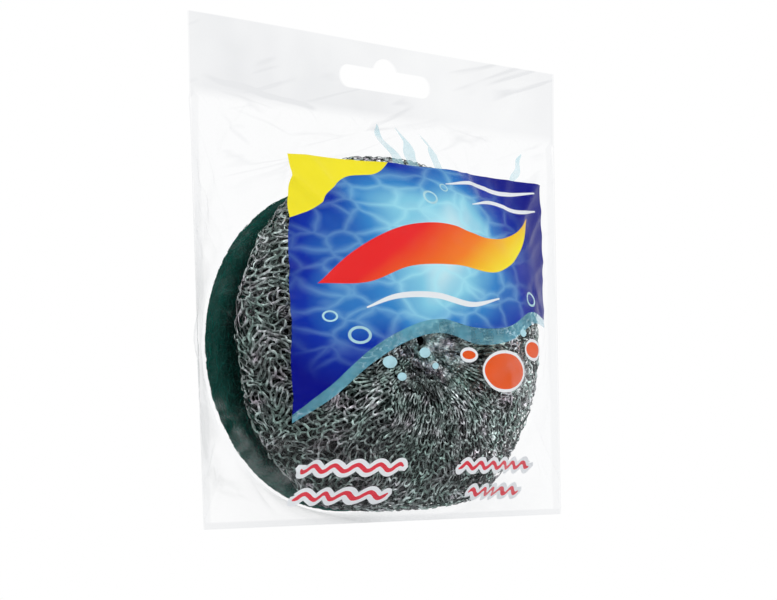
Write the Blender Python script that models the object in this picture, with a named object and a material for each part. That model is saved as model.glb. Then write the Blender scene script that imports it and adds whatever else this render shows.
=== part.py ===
"""Two-sided pot scrubber, packed in a clear bag that hangs by its punched header.

A bun of knitted steel mesh is tied through its middle to a round scouring pad.
The bag's two film panels close round both, and its header folds on the weld line.
Units are metres. +Z is up, the bag's front faces -Y, and the origin is the middle
of the hang slot.
"""

import math

import bmesh
import bpy
from mathutils import Vector

# Clearances
GAP = 0.0003
LAYER_GAP = 0.0006
FILM_CLEARANCE = 0.0005
OVERRUN = 0.002

# Bun of knitted steel mesh
BUN_RADIUS = 0.0498
BUN_FRONT_DEPTH = 0.0240
BUN_REAR_DEPTH = 0.0147
BUN_MIDDLE_Y = 0.0010
BUN_SHOULDER_POWER = 0.8
LAYER_THICKNESS = 0.0030
REAR_MOUTH_RADIUS = 0.0140
DIMPLE_DEPTH = 0.0120
DIMPLE_RADIUS = 0.0110
CROWN_RADIUS = 0.0200
CREASE_COUNT = 12
CREASE_DEPTH = 0.0018
CREASE_RADIUS = 0.0140
CREASE_REACH = 0.0085
LUMP_DEPTH = 0.0014
BOTTOM_EASE_SHARE = 0.72
MOST_EASED_SHARE = 0.999999
BOTTOM_MARGIN = 0.0008

# Lumps of the bun: how many go round it, then how far they drift outwards and start, in turns
LUMP_WAVE_SHARES = ((4, 0.95, 0.06), (7, -1.43, 0.30), (11, 1.27, 0.49))

# Gathered neck, its binding and the wire that ties the pad on
NECK_RADIUS = 0.0040
WIRE_RADIUS = 0.0004
BINDING_TURNS = 3
BINDING_PITCH = 0.0013
TIE_BEND = 0.0010
ROLL_BORE_MARGIN = 0.0020

# Scouring pad
PAD_INSET = 0.0068
PAD_THICKNESS = 0.0090
PAD_EDGE = 0.0028
TUCK_DEPTH = 0.0014
TUCK_MARGIN = 0.0012
TUCK_SLOPE = 0.0040

# Clear film bag
FILM_THICKNESS = 0.0004
TOP_SLACK = 0.0088
TOP_SIDE_SLACK = 0.0140
BOTTOM_SIDE_SLACK = 0.0115
BOTTOM_SLACK = 0.0020
FOLD_DROP = 0.0102
HEADER_TOP_RISE = 0.0097
FOLD_GAP_BELOW = 0.0005
FOLD_GAP_ABOVE = 0.00045
HEADER_THICKNESS = 0.0008
FILM_FOLD_HEIGHT = 0.0012
FOLD_CREST_POWER = 1.4
FOLD_FOOT_SHARE = 2.2

# Folds of the front film: place and half width in turns, and share of the full height
FILM_FOLD_SHARES = (
    (0.033, 0.0061, 0.45),
    (0.072, 0.0050, 0.60),
    (0.103, 0.0044, 0.60),
    (0.122, 0.0042, 0.75),
    (0.144, 0.0050, 0.50),
    (0.189, 0.0061, 0.50),
    (0.233, 0.0067, 0.35),
    (0.281, 0.0061, 0.45),
    (0.322, 0.0056, 0.50),
    (0.358, 0.0047, 0.55),
    (0.381, 0.0042, 0.75),
    (0.406, 0.0047, 0.60),
    (0.444, 0.0061, 0.50),
    (0.494, 0.0067, 0.35),
    (0.553, 0.0056, 0.60),
    (0.586, 0.0047, 0.90),
    (0.606, 0.0042, 1.00),
    (0.636, 0.0056, 0.60),
    (0.686, 0.0067, 0.35),
    (0.803, 0.0067, 0.35),
    (0.858, 0.0056, 0.60),
    (0.892, 0.0042, 1.00),
    (0.911, 0.0047, 0.80),
    (0.953, 0.0061, 0.50),
)

# Hang slot: a bar with round ends and a round notch for the peg
SLOT_WIDTH = 0.0320
SLOT_HEIGHT = 0.0060
NOTCH_RADIUS = 0.0045

# Fineness of the meshes
SHARP_TURN = 40
TURN_STEPS = 48
SHOULDER_STEPS = 7
REAR_STEPS = 7
EDGE_STEPS = 4
ARC_STEPS = 8
HOLE_STEPS = 10
WIRE_STEPS = 12
BEND_STEPS = 3
RAY_SAMPLES = 160
DIMPLE_RING_SHARES = (0.0, 0.2, 0.4, 0.6, 0.8, 1.05, 1.35)
COVERED_SHARES = (0.3, 0.55, 0.75, 0.87, 0.94, 1.0)
BRIDGED_SHARES = (0.25, 0.5, 0.75, 1.0)

# Worked out from the sizes above
PAD_RADIUS = BUN_RADIUS - PAD_INSET
PAD_FRONT_Y = BUN_MIDDLE_Y + BUN_REAR_DEPTH + GAP
PAD_BACK_Y = PAD_FRONT_Y + PAD_THICKNESS
BOTTOM_EASE_START = BOTTOM_EASE_SHARE * BUN_RADIUS
BOTTOM_LEVEL = PAD_RADIUS + BOTTOM_MARGIN
BINDING_RADIUS = NECK_RADIUS + GAP + WIRE_RADIUS
TIE_OFFSET = BINDING_RADIUS + GAP + 2 * WIRE_RADIUS
ROLL_BORE = TIE_OFFSET + WIRE_RADIUS + ROLL_BORE_MARGIN
TUCK_RADIUS = TIE_OFFSET + WIRE_RADIUS + TUCK_MARGIN
SCRUBBER_DROP = FOLD_DROP + TOP_SLACK + BUN_RADIUS
POUCH_TOP = TOP_SLACK + BUN_RADIUS - FOLD_GAP_BELOW
POUCH_BOTTOM = -(BOTTOM_LEVEL + BOTTOM_SLACK)
FILM_EDGE_Y = GAP / 2

COLOURS = {
    "clear_film": (0.86, 0.88, 0.90),
    "green_pad": (0.02, 0.11, 0.07),
    "knitted_steel": (0.42, 0.43, 0.42),
    "tie_wire": (0.55, 0.56, 0.56),
}


def clear_scene():
    for thing in list(bpy.data.objects):
        bpy.data.objects.remove(thing, do_unlink=True)


def make_material(name, roughness, metallic, alpha=1.0):
    """One plain shader, shared by the pieces made of this material."""
    material = bpy.data.materials.get(name)
    if material:
        return material
    material = bpy.data.materials.new(name)
    material.use_nodes = True
    shader = material.node_tree.nodes["Principled BSDF"]
    shader.inputs["Base Color"].default_value = (*COLOURS[name], 1.0)
    shader.inputs["Roughness"].default_value = roughness
    shader.inputs["Metallic"].default_value = metallic
    shader.inputs["Alpha"].default_value = alpha
    return material


def film_material():
    return make_material("clear_film", 0.12, 0.0, 0.3)


def steel_material():
    return make_material("knitted_steel", 0.35, 0.9)


def wire_material():
    return make_material("tie_wire", 0.3, 1.0)


def pad_material():
    return make_material("green_pad", 0.95, 0.0)


def make_empty(name, location, parent=None):
    empty = bpy.data.objects.new(name, None)
    bpy.context.scene.collection.objects.link(empty)
    empty.location = location
    empty.parent = parent
    return empty


def place(name, data, material, parent):
    """Links a mesh or curve as a named piece under its parent."""
    data.materials.append(material)
    piece = bpy.data.objects.new(name, data)
    bpy.context.scene.collection.objects.link(piece)
    piece.parent = parent
    return piece


def mesh_data(name, mesh):
    """Turns a bmesh into mesh data, with its faces looking out."""
    bmesh.ops.recalc_face_normals(mesh, faces=mesh.faces)
    data = bpy.data.meshes.new(name)
    mesh.to_mesh(data)
    mesh.free()
    return data


def rounded_data(name, mesh):
    """Mesh data that shades smooth but keeps its corners."""
    data = mesh_data(name, mesh)
    data.shade_smooth()
    data.set_sharp_from_angle(angle=math.radians(SHARP_TURN))
    return data


def skin(name, rings, closed):
    """A closed mesh through rings of points. A ring of one point closes an end."""
    mesh = bmesh.new()
    lines = [[mesh.verts.new(point) for point in ring] for ring in rings]
    pairs = list(zip(lines, lines[1:]))
    if closed:
        pairs.append((lines[-1], lines[0]))
    for first, second in pairs:
        count = max(len(first), len(second))
        for index in range(count):
            after = (index + 1) % count
            corners = []
            for line, spot in ((first, index), (first, after), (second, after), (second, index)):
                vertex = line[spot % len(line)]
                if vertex not in corners:
                    corners.append(vertex)
            mesh.faces.new(corners)
    return rounded_data(name, mesh)


def thicken(mesh, faces, depth):
    """Closes an open sheet of faces with a copy of it, moved along Y."""
    made = bmesh.ops.extrude_face_region(mesh, geom=faces)["geom"]
    moved = [part for part in made if isinstance(part, bmesh.types.BMVert)]
    bmesh.ops.translate(mesh, verts=moved, vec=(0, depth, 0))


def film_mesh(name, rings, depth):
    """A film through rings of points. Both its skins have the same triangles, so they never cross."""
    mesh = bmesh.new()
    lines = [[mesh.verts.new(point) for point in ring] for ring in rings]
    faces = []
    for first, second in zip(lines, lines[1:]):
        for index in range(len(second)):
            after = (index + 1) % len(second)
            near = first[index % len(first)]
            faces.append(mesh.faces.new((near, second[after], second[index])))
            if len(first) > 1:
                faces.append(mesh.faces.new((near, first[after], second[after])))
    thicken(mesh, faces, depth)
    return rounded_data(name, mesh)


def prism(name, outline, low_y, high_y):
    """A flat plate: an outline of (x, z) points, extruded between two depths."""
    mesh = bmesh.new()
    face = mesh.faces.new([mesh.verts.new((x, low_y, z)) for x, z in outline])
    thicken(mesh, [face], high_y - low_y)
    return mesh_data(name, mesh)


def cut(piece, cutter_name, cutter_data, parent):
    """Takes a hidden cutter out of a piece."""
    cutter = bpy.data.objects.new(cutter_name, cutter_data)
    bpy.context.scene.collection.objects.link(cutter)
    cutter.parent = parent
    cutter.hide_render = True
    cutter.display_type = "WIRE"
    modifier = piece.modifiers.new(cutter_name, "BOOLEAN")
    modifier.operation = "DIFFERENCE"
    modifier.object = cutter


def arc(centre, radius, start, end, steps):
    """Points of an arc in a plane, by angles in degrees."""
    turns = [math.radians(start + (end - start) * step / steps) for step in range(steps + 1)]
    return [(centre[0] + radius * math.cos(turn), centre[1] + radius * math.sin(turn)) for turn in turns]


def lens_depth(radius, half_depth, at_radius):
    """Half thickness of the bun at a distance from its axis."""
    share = min(at_radius / radius, 1.0)
    return half_depth * math.sqrt(max(1 - share ** (2 / BUN_SHOULDER_POWER), 0))


def dimple_rise(at_radius):
    """How far the front is drawn in towards the tied neck."""
    return DIMPLE_DEPTH * math.exp(-((at_radius / DIMPLE_RADIUS) ** 2))


def crease_rise(at_radius, turn):
    """Folds that run out of the dimple, where the mesh is gathered."""
    reach = math.exp(-(((at_radius - CREASE_RADIUS) / CREASE_REACH) ** 2))
    return CREASE_DEPTH * reach * (1 - math.cos(CREASE_COUNT * turn)) / 2


def eased_bottom(height, inset):
    """Heights near the bottom, pressed up by the bag's lower seam."""
    if height > -BOTTOM_EASE_START:
        return height
    room = BOTTOM_LEVEL - inset - BOTTOM_EASE_START
    return -(BOTTOM_EASE_START + room * math.tanh((-height - BOTTOM_EASE_START) / room))


def uneased_bottom(height, inset):
    """The height that eased_bottom would bring here."""
    if height > -BOTTOM_EASE_START:
        return height
    room = BOTTOM_LEVEL - inset - BOTTOM_EASE_START
    share = min((-height - BOTTOM_EASE_START) / room, MOST_EASED_SHARE)
    return -(BOTTOM_EASE_START + room * math.atanh(share))


def lump_dent(at_radius, turn):
    """How far the bun's outside is dented, which fades out towards its middle."""
    waves = 0
    for count, drift, start in LUMP_WAVE_SHARES:
        waves += math.cos(count * turn + 2 * math.pi * (drift * at_radius / BUN_RADIUS + start))
    share = (1 - waves / len(LUMP_WAVE_SHARES)) / 2
    return LUMP_DEPTH * share * (1 - math.exp(-((at_radius / DIMPLE_RADIUS) ** 2)))


def bun_point(at_radius, depth, inset, turn, creased):
    """A point of a mesh layer, from its section and the turn about the bun's axis."""
    if creased:
        depth += crease_rise(at_radius, turn)
    if not inset:
        inward = Vector((BUN_RADIUS / 2 - at_radius, -depth)).normalized()
        dent = lump_dent(at_radius, turn)
        at_radius += dent * inward.x
        depth += dent * inward.y
    height = eased_bottom(at_radius * math.sin(turn), inset)
    return Vector((at_radius * math.cos(turn), BUN_MIDDLE_Y + depth, height))


def front_section(inset, bore):
    """(radius, depth, inset, creased) from the bore out to just short of the rim."""
    radius = BUN_RADIUS - inset
    half_depth = BUN_FRONT_DEPTH - inset
    rings = [share * DIMPLE_RADIUS for share in DIMPLE_RING_SHARES]
    rings = [bore] + [ring for ring in rings if ring > bore + GAP] + [CROWN_RADIUS]
    crown_turn = math.acos((CROWN_RADIUS / radius) ** (1 / BUN_SHOULDER_POWER))
    for step in range(1, SHOULDER_STEPS):
        slope = crown_turn * (1 - step / SHOULDER_STEPS)
        rings.append(radius * math.cos(slope) ** BUN_SHOULDER_POWER)
    return [(ring, dimple_rise(ring) - lens_depth(radius, half_depth, ring), inset, True) for ring in rings]


def rear_section(inset, bore):
    """(radius, depth, inset, creased) from the rim back in to the bore."""
    radius = BUN_RADIUS - inset
    half_depth = BUN_REAR_DEPTH - inset
    last_turn = math.acos((REAR_MOUTH_RADIUS / radius) ** (1 / BUN_SHOULDER_POWER))
    slopes = [last_turn * step / REAR_STEPS for step in range(REAR_STEPS + 1)]
    rings = [radius * math.cos(slope) ** BUN_SHOULDER_POWER for slope in slopes]
    if bore < REAR_MOUTH_RADIUS:
        rings.append(bore)
    return [(ring, lens_depth(radius, half_depth, ring), inset, False) for ring in rings]


def turned_bun(name, section, closed):
    """Skins a section of the bun, turned about its axis."""
    turns = [2 * math.pi * step / TURN_STEPS for step in range(TURN_STEPS)]
    rings = []
    for radius, depth, inset, creased in section:
        if radius == 0:
            rings.append([bun_point(0, depth, inset, 0, False)])
        else:
            rings.append([bun_point(radius, depth, inset, turn, creased) for turn in turns])
    return skin(name, rings, closed)


def make_outer_mesh(parent):
    """The knitted tube's outermost layer, gathered in front into the neck."""
    section = front_section(0, 0)
    section += rear_section(0, REAR_MOUTH_RADIUS)
    section += reversed(rear_section(LAYER_THICKNESS, REAR_MOUTH_RADIUS))
    section += reversed(front_section(LAYER_THICKNESS, NECK_RADIUS))
    section += [(radius, BUN_REAR_DEPTH, LAYER_THICKNESS, False) for radius in (NECK_RADIUS, 0)]
    place("outer_mesh_layer", turned_bun("outer_mesh_layer", section, False), steel_material(), parent)


def make_middle_mesh(parent):
    """The layer rolled inside the outermost one, open towards the neck."""
    outside = LAYER_THICKNESS + LAYER_GAP
    inside = outside + LAYER_THICKNESS
    section = front_section(outside, ROLL_BORE)
    section += rear_section(outside, REAR_MOUTH_RADIUS)
    section += reversed(rear_section(inside, REAR_MOUTH_RADIUS))
    section += reversed(front_section(inside, ROLL_BORE))
    place("middle_mesh_layer", turned_bun("middle_mesh_layer", section, True), steel_material(), parent)


def make_core_mesh(parent):
    """The start of the rolled tube, a soft ring in the bun's middle."""
    inset = 2 * (LAYER_THICKNESS + LAYER_GAP)
    section = front_section(inset, ROLL_BORE) + rear_section(inset, ROLL_BORE)
    place("core_mesh_roll", turned_bun("core_mesh_roll", section, True), steel_material(), parent)


def wire_curve(name, points, sides):
    """A round wire along the points, closed at both ends."""
    data = bpy.data.curves.new(name, "CURVE")
    data.dimensions = "3D"
    data.bevel_depth = WIRE_RADIUS
    data.bevel_resolution = sides
    data.use_fill_caps = True
    spline = data.splines.new("POLY")
    spline.points.add(len(points) - 1)
    for spot, point in zip(spline.points, points):
        spot.co = (*point, 1.0)
    spline.use_smooth = True
    return data


def binding_front_y():
    """Depth of the binding's first turn, so that its last one clears the pad."""
    return PAD_FRONT_Y - GAP - 2 * WIRE_RADIUS - BINDING_TURNS * BINDING_PITCH


def make_binding(parent):
    """Turns of wire that hold the gathered neck together."""
    points = []
    for step in range(BINDING_TURNS * WIRE_STEPS + 1):
        turn = 2 * math.pi * step / WIRE_STEPS
        depth = binding_front_y() + BINDING_PITCH * step / WIRE_STEPS
        points.append((BINDING_RADIUS * math.cos(turn), depth, BINDING_RADIUS * math.sin(turn)))
    place("neck_binding", wire_curve("neck_binding", points, 1), wire_material(), parent)


def rounded_path(corners, bend):
    """The path through the corners, with each inner corner turned on a bend."""
    path = [corners[0]]
    for before, corner, after in zip(corners, corners[1:], corners[2:]):
        arrive = corner + (before - corner).normalized() * bend
        leave = corner + (after - corner).normalized() * bend
        for step in range(BEND_STEPS + 1):
            share = step / BEND_STEPS
            low = arrive.lerp(corner, share)
            high = corner.lerp(leave, share)
            path.append(low.lerp(high, share))
    path.append(corners[-1])
    return path


def make_tie(parent):
    """A wire through the pad, hooked at both ends over the neck's binding."""
    hook_y = binding_front_y() - 2 * WIRE_RADIUS - GAP
    crown_y = PAD_BACK_Y - TUCK_DEPTH + GAP + WIRE_RADIUS
    corners = [
        Vector((-BINDING_RADIUS, hook_y, 0)),
        Vector((-TIE_OFFSET, hook_y, 0)),
        Vector((-TIE_OFFSET, crown_y, 0)),
        Vector((TIE_OFFSET, crown_y, 0)),
        Vector((TIE_OFFSET, hook_y, 0)),
        Vector((BINDING_RADIUS, hook_y, 0)),
    ]
    points = rounded_path(corners, TIE_BEND)
    place("pad_tie_wire", wire_curve("pad_tie_wire", points, 2), wire_material(), parent)


def make_pad(parent):
    """The round scouring pad, tucked in at the back where the wire crosses it."""
    flat = PAD_RADIUS - PAD_EDGE
    tuck_y = PAD_BACK_Y - TUCK_DEPTH
    front = arc((flat, PAD_FRONT_Y + PAD_EDGE), PAD_EDGE, -90, 0, EDGE_STEPS)
    back = arc((flat, PAD_BACK_Y - PAD_EDGE), PAD_EDGE, 0, 90, EDGE_STEPS)
    inner = [(TUCK_RADIUS + TUCK_SLOPE, PAD_BACK_Y), (TUCK_RADIUS, tuck_y)]
    section = [(0, PAD_FRONT_Y)] + front + back + inner + [(0, tuck_y)]
    turns = [2 * math.pi * step / TURN_STEPS for step in range(TURN_STEPS)]
    rings = []
    for radius, depth in section:
        ring = [(radius * math.cos(turn), depth, radius * math.sin(turn)) for turn in turns]
        rings.append(ring if radius else ring[:1])
    pad = place("scouring_pad", skin("scouring_pad", rings, False), pad_material(), parent)
    for side, name in ((-1, "left_tie_hole"), (1, "right_tie_hole")):
        first = 180 / HOLE_STEPS
        hole = arc((side * TIE_OFFSET, 0), WIRE_RADIUS + GAP, first, first + 360, HOLE_STEPS)[:-1]
        data = prism(name, hole, PAD_FRONT_Y - OVERRUN, PAD_BACK_Y + OVERRUN)
        cut(pad, name, data, parent)


def half_width(height):
    """The bag's half width at a height from the scrubber's centre."""
    top = SCRUBBER_DROP + HEADER_TOP_RISE
    share = (height - POUCH_BOTTOM) / (top - POUCH_BOTTOM)
    return BUN_RADIUS + BOTTOM_SIDE_SLACK + share * (TOP_SIDE_SLACK - BOTTOM_SIDE_SLACK)


def seam_point(turn):
    """Where a ray from the scrubber's centre meets the pouch's edge."""
    across, up = math.cos(turn), math.sin(turn)
    slope = (half_width(POUCH_TOP) - half_width(POUCH_BOTTOM)) / (POUCH_TOP - POUCH_BOTTOM)
    lengths = [half_width(0) / (abs(across) - slope * up)]
    if up:
        lengths.append((POUCH_TOP if up > 0 else POUCH_BOTTOM) / up)
    length = min(length for length in lengths if length > 0)
    return Vector((length * across, 0, length * up))


def pouch_turns():
    """The bun's own turns, so that their facets match, and the pouch's corners."""
    turns = [2 * math.pi * step / TURN_STEPS for step in range(TURN_STEPS)]
    for height in (POUCH_TOP, POUCH_BOTTOM):
        for side in (1, -1):
            turns.append(math.atan2(height, side * half_width(height)) % (2 * math.pi))
    return sorted(turns)


def film_folds(side):
    """(turn, half width, height) of a panel's folds. The rear ones mirror those in front."""
    folds = []
    for place_share, wide_share, height_share in FILM_FOLD_SHARES:
        turn = place_share if side < 0 else (0.5 - place_share) % 1
        folds.append((2 * math.pi * turn, 2 * math.pi * wide_share, height_share * FILM_FOLD_HEIGHT))
    return folds


def turn_between(first, second):
    """The smaller turn between two directions."""
    return abs((first - second + math.pi) % (2 * math.pi) - math.pi)


def film_turns(side):
    """The pouch's turns, with the crest and both feet of each fold."""
    turns = pouch_turns()
    for turn, wide, _ in film_folds(side):
        for spot in (turn, turn - FOLD_FOOT_SHARE * wide, turn + FOLD_FOOT_SHARE * wide):
            if min(turn_between(spot, other) for other in turns) > wide / 2:
                turns.append(spot % (2 * math.pi))
    return sorted(turns)


def fold_rise(turn, bridged_share, side):
    """How far the folds lift the film where it hangs between the scrubber and the seam."""
    total = 0
    for crest, wide, height in film_folds(side):
        total += height * math.exp(-((turn_between(turn, crest) / wide) ** FOLD_CREST_POWER))
    return total * math.sin(math.pi * bridged_share)


def bun_reach(point, half_depth):
    """The bun's half thickness over a point of its middle plane, or nothing outside it."""
    radius = math.hypot(point.x, uneased_bottom(point.z, 0))
    return lens_depth(BUN_RADIUS, half_depth, radius) if radius < BUN_RADIUS else None


def front_content(point):
    """How far the scrubber stands forward of the bag's middle plane."""
    reach = bun_reach(point, BUN_FRONT_DEPTH)
    return reach - BUN_MIDDLE_Y if reach is not None else 0


def rear_content(point):
    """How far the scrubber stands behind the bag's middle plane."""
    reach = bun_reach(point, BUN_REAR_DEPTH)
    rear = reach + BUN_MIDDLE_Y if reach is not None else 0
    past = point.length - (PAD_RADIUS - PAD_EDGE)
    if past <= 0:
        return max(rear, PAD_BACK_Y)
    if past < PAD_EDGE:
        return max(rear, PAD_BACK_Y - PAD_EDGE + math.sqrt(PAD_EDGE**2 - past**2))
    return rear


def film_profile(turn, side, content):
    """(point, inner depth) along one ray: over the scrubber, then straight to the seam but for folds."""
    edge_point = seam_point(turn)

    def depth_at(share):
        point = edge_point * share
        inward = max(point.length - FILM_CLEARANCE, 0)
        reach = content(edge_point.normalized() * inward)
        return reach + FILM_CLEARANCE if reach > 0 else FILM_EDGE_Y

    def steepness(share):
        return (depth_at(share) - FILM_EDGE_Y) / (1 - share)

    leaves = max((step / RAY_SAMPLES for step in range(RAY_SAMPLES)), key=steepness)
    profile = [(edge_point * leaves * share, depth_at(leaves * share)) for share in COVERED_SHARES]
    last_depth = profile[-1][1]
    for share in BRIDGED_SHARES:
        spot = edge_point * (leaves + (1 - leaves) * share)
        straight = last_depth + (FILM_EDGE_Y - last_depth) * share
        profile.append((spot, straight + fold_rise(turn, share, side)))
    return profile


def make_film_panel(name, side, content, parent):
    """A panel of the bag, drawn tight over the scrubber and sealed round its edge."""
    profiles = [film_profile(turn, side, content) for turn in film_turns(side)]
    rings = [[Vector((0, side * (content(Vector((0, 0, 0))) + FILM_CLEARANCE), 0))]]
    for spots in zip(*profiles):
        rings.append([Vector((point.x, side * depth, point.z)) for point, depth in spots])
    place(name, film_mesh(name, rings, side * FILM_THICKNESS), film_material(), parent)


def make_header():
    """The welded header, with the hang slot punched through it."""
    low = -FOLD_DROP + FOLD_GAP_ABOVE
    bottom = half_width(SCRUBBER_DROP + low)
    top = half_width(SCRUBBER_DROP + HEADER_TOP_RISE)
    outline = [(-bottom, low), (bottom, low), (top, HEADER_TOP_RISE), (-top, HEADER_TOP_RISE)]
    half = HEADER_THICKNESS / 2
    header = place("header_film", prism("header_film", outline, -half, half), film_material(), None)

    end_radius = SLOT_HEIGHT / 2
    end_x = SLOT_WIDTH / 2 - end_radius
    notch_z = NOTCH_RADIUS - end_radius
    start = math.degrees(math.asin((end_radius - notch_z) / NOTCH_RADIUS))
    slot = arc((end_x, 0), end_radius, -90, 90, ARC_STEPS)
    slot += arc((0, notch_z), NOTCH_RADIUS, start, 180 - start, HOLE_STEPS)
    slot += arc((-end_x, 0), end_radius, 90, 270, ARC_STEPS)
    cut(header, "hang_slot", prism("hang_slot", slot, -OVERRUN, OVERRUN), None)


def build():
    clear_scene()
    make_header()
    fold = make_empty("header_fold_axis", (0, 0, -FOLD_DROP))
    centre = make_empty("scrubber_centre", (0, 0, FOLD_DROP - SCRUBBER_DROP), fold)
    make_film_panel("front_film", -1, front_content, centre)
    make_film_panel("rear_film", 1, rear_content, centre)
    make_pad(centre)
    make_outer_mesh(centre)
    make_middle_mesh(centre)
    make_core_mesh(centre)
    make_binding(centre)
    make_tie(centre)


build()
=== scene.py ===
"""Looks of a two-sided pot scrubber in its clear printed hang bag."""
import math

import bmesh
import bpy
import numpy as np
from mathutils import Matrix, Vector
from mathutils.geometry import delaunay_2d_cdt


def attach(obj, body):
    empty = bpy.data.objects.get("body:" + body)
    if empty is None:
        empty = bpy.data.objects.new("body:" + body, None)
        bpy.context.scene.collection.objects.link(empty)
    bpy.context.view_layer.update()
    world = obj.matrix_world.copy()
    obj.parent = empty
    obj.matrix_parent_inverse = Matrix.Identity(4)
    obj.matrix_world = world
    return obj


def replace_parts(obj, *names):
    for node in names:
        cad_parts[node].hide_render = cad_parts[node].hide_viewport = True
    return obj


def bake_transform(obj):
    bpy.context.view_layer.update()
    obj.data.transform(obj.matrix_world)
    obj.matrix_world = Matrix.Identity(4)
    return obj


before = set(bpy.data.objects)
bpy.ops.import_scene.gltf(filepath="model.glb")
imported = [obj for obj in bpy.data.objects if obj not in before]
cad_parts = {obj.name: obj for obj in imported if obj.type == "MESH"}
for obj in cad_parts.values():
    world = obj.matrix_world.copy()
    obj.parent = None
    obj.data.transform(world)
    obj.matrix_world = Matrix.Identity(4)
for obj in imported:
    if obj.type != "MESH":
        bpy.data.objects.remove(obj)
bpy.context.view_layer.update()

TURN = 2 * math.pi

# Shape of the CAD model, in metres, so that every piece fits its solid
CENTRE_Z = -0.0688
BUN_RADIUS = 0.0498
BUN_FRONT_DEPTH = 0.0240
BUN_REAR_DEPTH = 0.0147
BUN_MIDDLE_Y = 0.0010
SHOULDER = 0.8
MOUTH_RADIUS = 0.0140
DIMPLE_DEPTH = 0.0120
DIMPLE_RADIUS = 0.0110
CREASE_COUNT = 12
CREASE_DEPTH = 0.0018
CREASE_RADIUS = 0.0140
CREASE_REACH = 0.0085
EASE_START = 0.72 * BUN_RADIUS
BOTTOM_LEVEL = 0.0438
PAD_RADIUS = 0.0430
PAD_FRONT_Y = 0.0160
PAD_BACK_Y = 0.0250
PAD_MIDDLE_Y = (PAD_FRONT_Y + PAD_BACK_Y) / 2
PAD_EDGE = 0.0028
TUCK_DEPTH = 0.0013
TUCK_REACH = 0.0042
TIE_HALF = 0.0062
FOLD_Z = -0.0102
HEADER_TOP_Z = 0.0097
POUCH_TOP = 0.0586
POUCH_BOTTOM = -0.0458
TOP_HALF_WIDTH = 0.0638
BOTTOM_HALF_WIDTH = 0.0613
SHEET_TOP = 0.0785
FILM_LIFT = 0.0007
FILM_EDGE_Y = 0.00025
SLOT_HALF = 0.0160
SLOT_END_RADIUS = 0.0030
NOTCH_RADIUS = 0.0045

# Lumps of the bun: how many go round it, then how far they drift outwards and start, in turns
LUMP_DEPTH = 0.0014
LUMP_WAVES = ((4, 0.95, 0.06), (7, -1.43, 0.30), (11, 1.27, 0.49))

# Folds of the film, which the rear wall has mirrored: place and half width in turns, and share of
# the full height
FILM_FOLD_HEIGHT = 0.0012
FILM_FOLD_SHARES = (
    (0.033, 0.0061, 0.45), (0.072, 0.0050, 0.60), (0.103, 0.0044, 0.60), (0.122, 0.0042, 0.75),
    (0.144, 0.0050, 0.50), (0.189, 0.0061, 0.50), (0.233, 0.0067, 0.35), (0.281, 0.0061, 0.45),
    (0.322, 0.0056, 0.50), (0.358, 0.0047, 0.55), (0.381, 0.0042, 0.75), (0.406, 0.0047, 0.60),
    (0.444, 0.0061, 0.50), (0.494, 0.0067, 0.35), (0.553, 0.0056, 0.60), (0.586, 0.0047, 0.90),
    (0.606, 0.0042, 1.00), (0.636, 0.0056, 0.60), (0.686, 0.0067, 0.35), (0.803, 0.0067, 0.35),
    (0.858, 0.0056, 0.60), (0.892, 0.0042, 1.00), (0.911, 0.0047, 0.80), (0.953, 0.0061, 0.50),
)


def collection_link(obj):
    bpy.context.scene.collection.objects.link(obj)
    return obj


def mesh_object(name, points, faces, *materials, smooth=True):
    """A mesh from an array of points and an array of faces that all have as many corners."""
    points = np.asarray(points, np.float32)
    faces = np.asarray(faces, np.int32)
    data = bpy.data.meshes.new(name)
    for material in materials:
        data.materials.append(material)
    count, corners = faces.shape
    data.vertices.add(len(points))
    data.vertices.foreach_set("co", points.ravel())
    data.loops.add(count * corners)
    data.loops.foreach_set("vertex_index", faces.ravel())
    data.polygons.add(count)
    data.polygons.foreach_set("loop_start", np.arange(0, count * corners, corners, dtype=np.int32))
    data.polygons.foreach_set("use_smooth", np.full(count, smooth))
    data.update(calc_edges=True)
    data.validate()
    return collection_link(bpy.data.objects.new(name, data))


def smoothstep(low, high, value):
    share = np.clip((value - low) / (high - low), 0, 1)
    return share * share * (3 - 2 * share)


def unit(vectors):
    """The same vectors, each of length 1."""
    return vectors / np.maximum(np.linalg.norm(vectors, axis=-1, keepdims=True), 1e-12)


def round_turn(count):
    """Even steps round a full turn."""
    return np.linspace(0, TURN, count, endpoint=False)


def distance_along(line):
    """Distance of each point of a line from its first one, along the line."""
    return np.concatenate([[0], np.cumsum(np.hypot(*np.diff(line, axis=0).T))])


def ring_quads(index, closed=False):
    """Faces between neighbouring rows of points, each of them a ring. Closed joins the last to the first."""
    if closed:
        index = np.concatenate([index, index[:1]])
    beside = np.roll(index, -1, axis=-1)
    corners = [index[..., :-1, :], beside[..., :-1, :], beside[..., 1:, :], index[..., 1:, :]]
    return np.stack(corners, axis=-1).reshape(-1, 4)


class Waves:
    """Smooth noise between about -1 and 1, from a few plane waves."""

    def __init__(self, size, seed, dims=3, count=12):
        rng = np.random.default_rng(seed)
        heading = rng.normal(size=(count, dims))
        heading /= np.linalg.norm(heading, axis=1, keepdims=True)
        self.pull = heading * (TURN / (size * rng.uniform(0.7, 1.5, (count, 1))))
        self.phase = rng.uniform(0, TURN, count)
        self.scale = math.sqrt(2 / count) / 1.4

    def __call__(self, *axes):
        total = 0
        for pull, phase in zip(self.pull, self.phase):
            angle = phase
            for share, axis in zip(pull, axes):
                angle = angle + share * axis
            total = total + np.sin(angle)
        return total * self.scale


# Materials


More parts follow.
